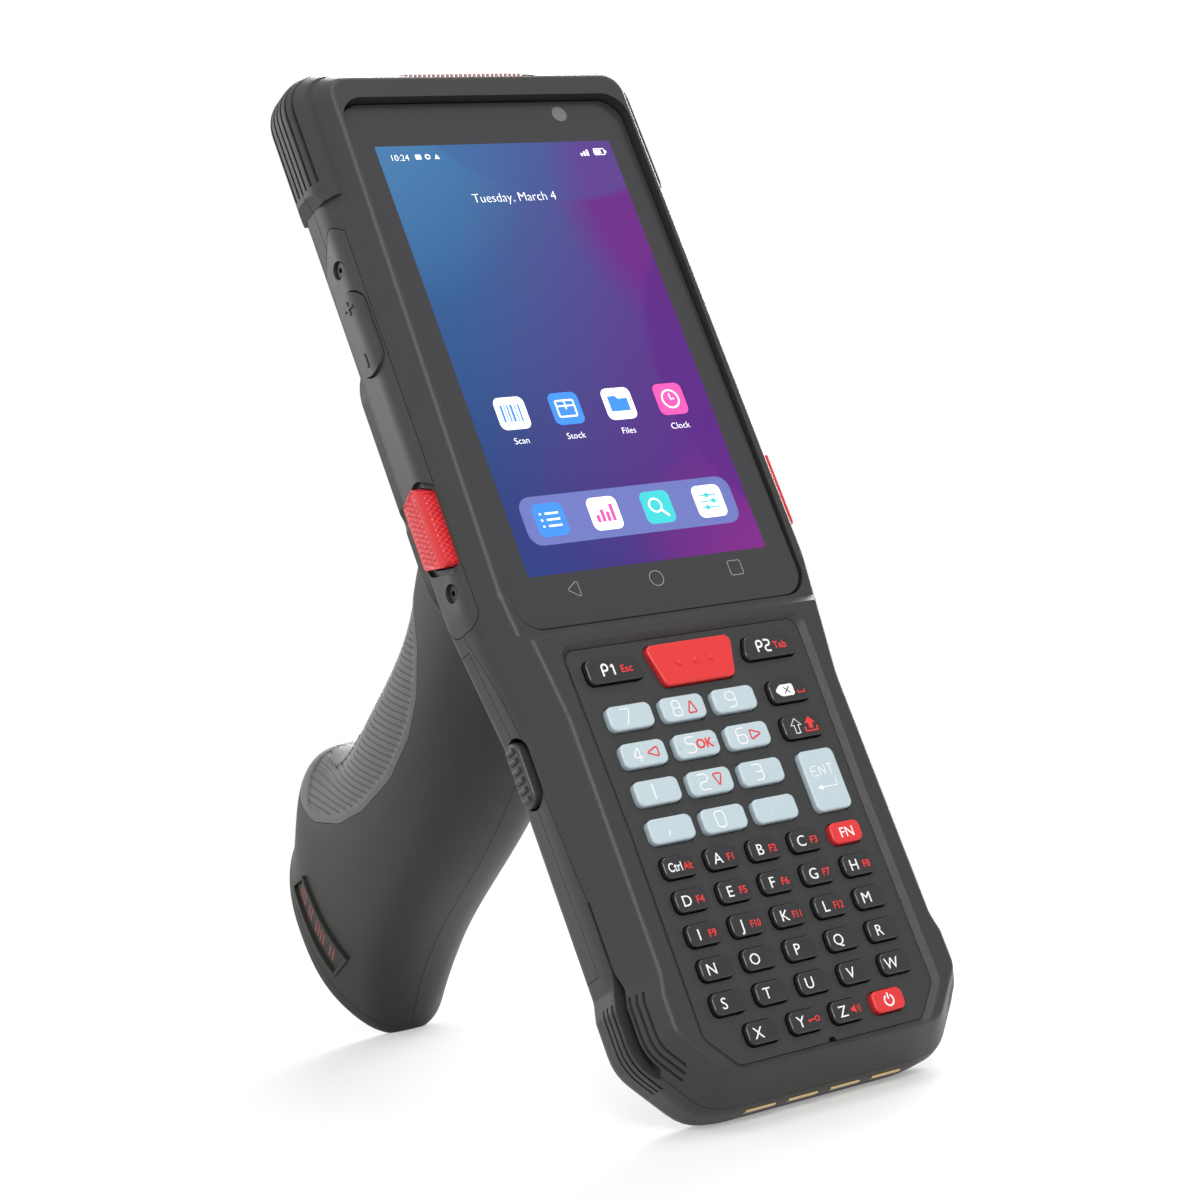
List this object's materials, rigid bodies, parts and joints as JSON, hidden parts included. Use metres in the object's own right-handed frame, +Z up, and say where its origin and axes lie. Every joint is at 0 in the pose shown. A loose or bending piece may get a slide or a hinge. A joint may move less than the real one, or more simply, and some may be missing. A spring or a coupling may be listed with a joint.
{
  "type": "portable data terminal",
  "caption": "Rugged hand terminal with a touch screen above a keypad, on a pistol grip with a ribbed finger insert; it stands on its lower end and the butt.",
  "frame": {"origin": "on the floor under the middle of the bounding box, as the object stands on its lower end and the butt", "axes": "+Z up; -Y the side the screen faces; +X to the right of someone who faces the screen"},
  "size_m": [0.0776, 0.1646, 0.1869],
  "materials": {
    "housing_plastic": "fine textured dark charcoal",
    "panel_plastic": "satin charcoal",
    "cover_glass": "polished dark glass with the screen showing through",
    "display_panel": "polished",
    "circuit_board": "solder mask",
    "keypad_plate": "fine grained",
    "key_pale": "satin moulded",
    "key_black": "polished moulded",
    "key_red": "satin moulded",
    "button_red": "fine diagonal knurl",
    "keypad_rubber": "matt",
    "contact_gold": "plated",
    "speaker_weave": "woven",
    "window_tint": "polished",
    "inner_plastic": "moulded",
    "camera_black": "polished",
    "screw_steel": "blackened",
    "grip_plastic": "smooth moulded",
    "grip_rubber": "fine ribbed",
    "spring_steel": "drawn"
  },
  "bodies": {
    "terminal": {"case_screws": "screw_steel", "charging_contacts": "contact_gold", "display_module": "display_panel", "front_housing": "housing_plastic", "grip_butt_cap": "grip_plastic", "grip_cradle": "grip_plastic", "grip_insert": "grip_rubber", "grip_screws": "screw_steel", "grip_shell_left": "grip_plastic", "grip_shell_right": "grip_plastic", "keypad_board": "circuit_board", "keypad_mat": "keypad_rubber", "keypad_plate": "keypad_plate", "main_board": "circuit_board", "panel_screws": "screw_steel", "rear_camera": "camera_black", "rear_housing": "housing_plastic", "scan_engine": "inner_plastic", "scan_window": "window_tint", "screen_glass": "cover_glass", "side_panel_left": "panel_plastic", "side_panel_right": "panel_plastic", "speaker_mesh": "speaker_weave", "trigger_pin": "spring_steel", "trigger_spring": "spring_steel", "trigger_switch": "inner_plastic"},
    "key_0_body": {"key_0": "key_pale"},
    "key_1_body": {"key_1": "key_pale"},
    "key_2_body": {"key_2": "key_pale"},
    "key_3_body": {"key_3": "key_pale"},
    "key_4_body": {"key_4": "key_pale"},
    "key_5_body": {"key_5": "key_pale"},
    "key_6_body": {"key_6": "key_pale"},
    "key_7_body": {"key_7": "key_pale"},
    "key_8_body": {"key_8": "key_pale"},
    "key_9_body": {"key_9": "key_pale"},
    "key_backspace_body": {"key_backspace": "key_black"},
    "key_comma_body": {"key_comma": "key_pale"},
    "key_dot_body": {"key_dot": "key_pale"},
    "key_enter_body": {"key_enter": "key_pale"},
    "key_fn_body": {"key_fn": "key_red"},
    "key_p1_body": {"key_p1": "key_black"},
    "key_p2_body": {"key_p2": "key_black"},
    "key_power_body": {"key_power": "key_red"},
    "key_shift_body": {"key_shift": "key_black"},
    "keys_ctrl_a_to_c_body": {"keys_ctrl_a_to_c": "key_black"},
    "keys_d_to_h_body": {"keys_d_to_h": "key_black"},
    "keys_i_to_m_body": {"keys_i_to_m": "key_black"},
    "keys_n_to_r_body": {"keys_n_to_r": "key_black"},
    "keys_s_to_w_body": {"keys_s_to_w": "key_black"},
    "keys_x_to_z_body": {"keys_x_to_z": "key_black"},
    "scan_key_body": {"scan_key": "key_red"},
    "scan_button_left_body": {"scan_button_left": "button_red"},
    "scan_button_right_body": {"scan_button_right": "button_red"},
    "volume_rocker_body": {"volume_rocker": "panel_plastic"},
    "battery": {"battery_cover": "housing_plastic", "battery_pack": "inner_plastic"},
    "battery_latch_left_body": {"battery_latch_left": "panel_plastic"},
    "battery_latch_right_body": {"battery_latch_right": "panel_plastic"},
    "trigger_body": {"trigger": "grip_plastic"}
  },
  "joints": [
    {"name": "key_0_press", "type": "slide", "parent": "terminal", "child": "key_0_body", "axis": [0, 0.9178, -0.3971], "range_m": [0, 0.0006], "stiffness_N_per_m": 1500, "springref_m": -0.0002},
    {"name": "key_1_press", "type": "slide", "parent": "terminal", "child": "key_1_body", "axis": [0, 0.9178, -0.3971], "range_m": [0, 0.0006], "stiffness_N_per_m": 1500, "springref_m": -0.0002},
    {"name": "key_2_press", "type": "slide", "parent": "terminal", "child": "key_2_body", "axis": [0, 0.9178, -0.3971], "range_m": [0, 0.0006], "stiffness_N_per_m": 1500, "springref_m": -0.0002},
    {"name": "key_3_press", "type": "slide", "parent": "terminal", "child": "key_3_body", "axis": [0, 0.9178, -0.3971], "range_m": [0, 0.0006], "stiffness_N_per_m": 1500, "springref_m": -0.0002},
    {"name": "key_4_press", "type": "slide", "parent": "terminal", "child": "key_4_body", "axis": [0, 0.9178, -0.3971], "range_m": [0, 0.0006], "stiffness_N_per_m": 1500, "springref_m": -0.0002},
    {"name": "key_5_press", "type": "slide", "parent": "terminal", "child": "key_5_body", "axis": [0, 0.9178, -0.3971], "range_m": [0, 0.0006], "stiffness_N_per_m": 1500, "springref_m": -0.0002},
    {"name": "key_6_press", "type": "slide", "parent": "terminal", "child": "key_6_body", "axis": [0, 0.9178, -0.3971], "range_m": [0, 0.0006], "stiffness_N_per_m": 1500, "springref_m": -0.0002},
    {"name": "key_7_press", "type": "slide", "parent": "terminal", "child": "key_7_body", "axis": [0, 0.9178, -0.3971], "range_m": [0, 0.0006], "stiffness_N_per_m": 1500, "springref_m": -0.0002},
    {"name": "key_8_press", "type": "slide", "parent": "terminal", "child": "key_8_body", "axis": [0, 0.9178, -0.3971], "range_m": [0, 0.0006], "stiffness_N_per_m": 1500, "springref_m": -0.0002},
    {"name": "key_9_press", "type": "slide", "parent": "terminal", "child": "key_9_body", "axis": [0, 0.9178, -0.3971], "range_m": [0, 0.0006], "stiffness_N_per_m": 1500, "springref_m": -0.0002},
    {"name": "key_backspace_press", "type": "slide", "parent": "terminal", "child": "key_backspace_body", "axis": [0, 0.9178, -0.3971], "range_m": [0, 0.0006], "stiffness_N_per_m": 1500, "springref_m": -0.0002},
    {"name": "key_comma_press", "type": "slide", "parent": "terminal", "child": "key_comma_body", "axis": [0, 0.9178, -0.3971], "range_m": [0, 0.0006], "stiffness_N_per_m": 1500, "springref_m": -0.0002},
    {"name": "key_dot_press", "type": "slide", "parent": "terminal", "child": "key_dot_body", "axis": [0, 0.9178, -0.3971], "range_m": [0, 0.0006], "stiffness_N_per_m": 1500, "springref_m": -0.0002},
    {"name": "key_enter_press", "type": "slide", "parent": "terminal", "child": "key_enter_body", "axis": [0, 0.9178, -0.3971], "range_m": [0, 0.0006], "stiffness_N_per_m": 1500, "springref_m": -0.0002},
    {"name": "key_fn_press", "type": "slide", "parent": "terminal", "child": "key_fn_body", "axis": [0, 0.9178, -0.3971], "range_m": [0, 0.0006], "stiffness_N_per_m": 1500, "springref_m": -0.0002},
    {"name": "key_p1_press", "type": "slide", "parent": "terminal", "child": "key_p1_body", "axis": [0, 0.9178, -0.3971], "range_m": [0, 0.0006], "stiffness_N_per_m": 1500, "springref_m": -0.0002},
    {"name": "key_p2_press", "type": "slide", "parent": "terminal", "child": "key_p2_body", "axis": [0, 0.9178, -0.3971], "range_m": [0, 0.0006], "stiffness_N_per_m": 1500, "springref_m": -0.0002},
    {"name": "key_power_press", "type": "slide", "parent": "terminal", "child": "key_power_body", "axis": [0, 0.9178, -0.3971], "range_m": [0, 0.0006], "stiffness_N_per_m": 1500, "springref_m": -0.0002},
    {"name": "key_shift_press", "type": "slide", "parent": "terminal", "child": "key_shift_body", "axis": [0, 0.9178, -0.3971], "range_m": [0, 0.0006], "stiffness_N_per_m": 1500, "springref_m": -0.0002},
    {"name": "keys_ctrl_a_to_c_press", "type": "slide", "parent": "terminal", "child": "keys_ctrl_a_to_c_body", "axis": [0, 0.9178, -0.3971], "range_m": [0, 0.0006], "stiffness_N_per_m": 1500, "springref_m": -0.0002},
    {"name": "keys_d_to_h_press", "type": "slide", "parent": "terminal", "child": "keys_d_to_h_body", "axis": [0, 0.9178, -0.3971], "range_m": [0, 0.0006], "stiffness_N_per_m": 1500, "springref_m": -0.0002},
    {"name": "keys_i_to_m_press", "type": "slide", "parent": "terminal", "child": "keys_i_to_m_body", "axis": [0, 0.9178, -0.3971], "range_m": [0, 0.0006], "stiffness_N_per_m": 1500, "springref_m": -0.0002},
    {"name": "keys_n_to_r_press", "type": "slide", "parent": "terminal", "child": "keys_n_to_r_body", "axis": [0, 0.9178, -0.3971], "range_m": [0, 0.0006], "stiffness_N_per_m": 1500, "springref_m": -0.0002},
    {"name": "keys_s_to_w_press", "type": "slide", "parent": "terminal", "child": "keys_s_to_w_body", "axis": [0, 0.9178, -0.3971], "range_m": [0, 0.0006], "stiffness_N_per_m": 1500, "springref_m": -0.0002},
    {"name": "keys_x_to_z_press", "type": "slide", "parent": "terminal", "child": "keys_x_to_z_body", "axis": [0, 0.9178, -0.3971], "range_m": [0, 0.0006], "stiffness_N_per_m": 1500, "springref_m": -0.0002},
    {"name": "scan_key_press", "type": "slide", "parent": "terminal", "child": "scan_key_body", "axis": [0, 0.9178, -0.3971], "range_m": [0, 0.0006], "stiffness_N_per_m": 1500, "springref_m": -0.0002},
    {"name": "scan_button_left_press", "type": "slide", "parent": "terminal", "child": "scan_button_left_body", "axis": [1, 0, 0], "range_m": [0, 0.0006], "stiffness_N_per_m": 3000, "springref_m": -0.0003},
    {"name": "scan_button_right_press", "type": "slide", "parent": "terminal", "child": "scan_button_right_body", "axis": [-1, 0, 0], "range_m": [0, 0.0006], "stiffness_N_per_m": 3000, "springref_m": -0.0003},
    {"name": "volume_rock", "type": "hinge", "parent": "terminal", "child": "volume_rocker_body", "pos_m": [-0.0345, -0.01727, 0.13815], "axis": [0, -0.9178, 0.3971], "range_deg": [-2, 2], "stiffness_Nm_per_rad": 0.5},
    {"name": "battery_removal", "type": "slide", "parent": "terminal", "child": "battery", "axis": [0, 0.9178, -0.3971], "range_m": [0, 0.014]},
    {"name": "battery_latch_left_slide", "type": "slide", "parent": "battery", "child": "battery_latch_left_body", "axis": [0, -0.9178, 0.3971], "range_m": [0, 0.0012], "stiffness_N_per_m": 800, "springref_m": -0.0005},
    {"name": "battery_latch_right_slide", "type": "slide", "parent": "battery", "child": "battery_latch_right_body", "axis": [0, -0.9178, 0.3971], "range_m": [0, 0.0012], "stiffness_N_per_m": 800, "springref_m": -0.0005},
    {"name": "trigger_pull", "type": "hinge", "parent": "terminal", "child": "trigger_body", "pos_m": [0, -0.00641, 0.11138], "axis": [-1, 0, 0], "range_deg": [0, 10], "stiffness_Nm_per_rad": 0.4, "springref_deg": -5.73}
  ]
}
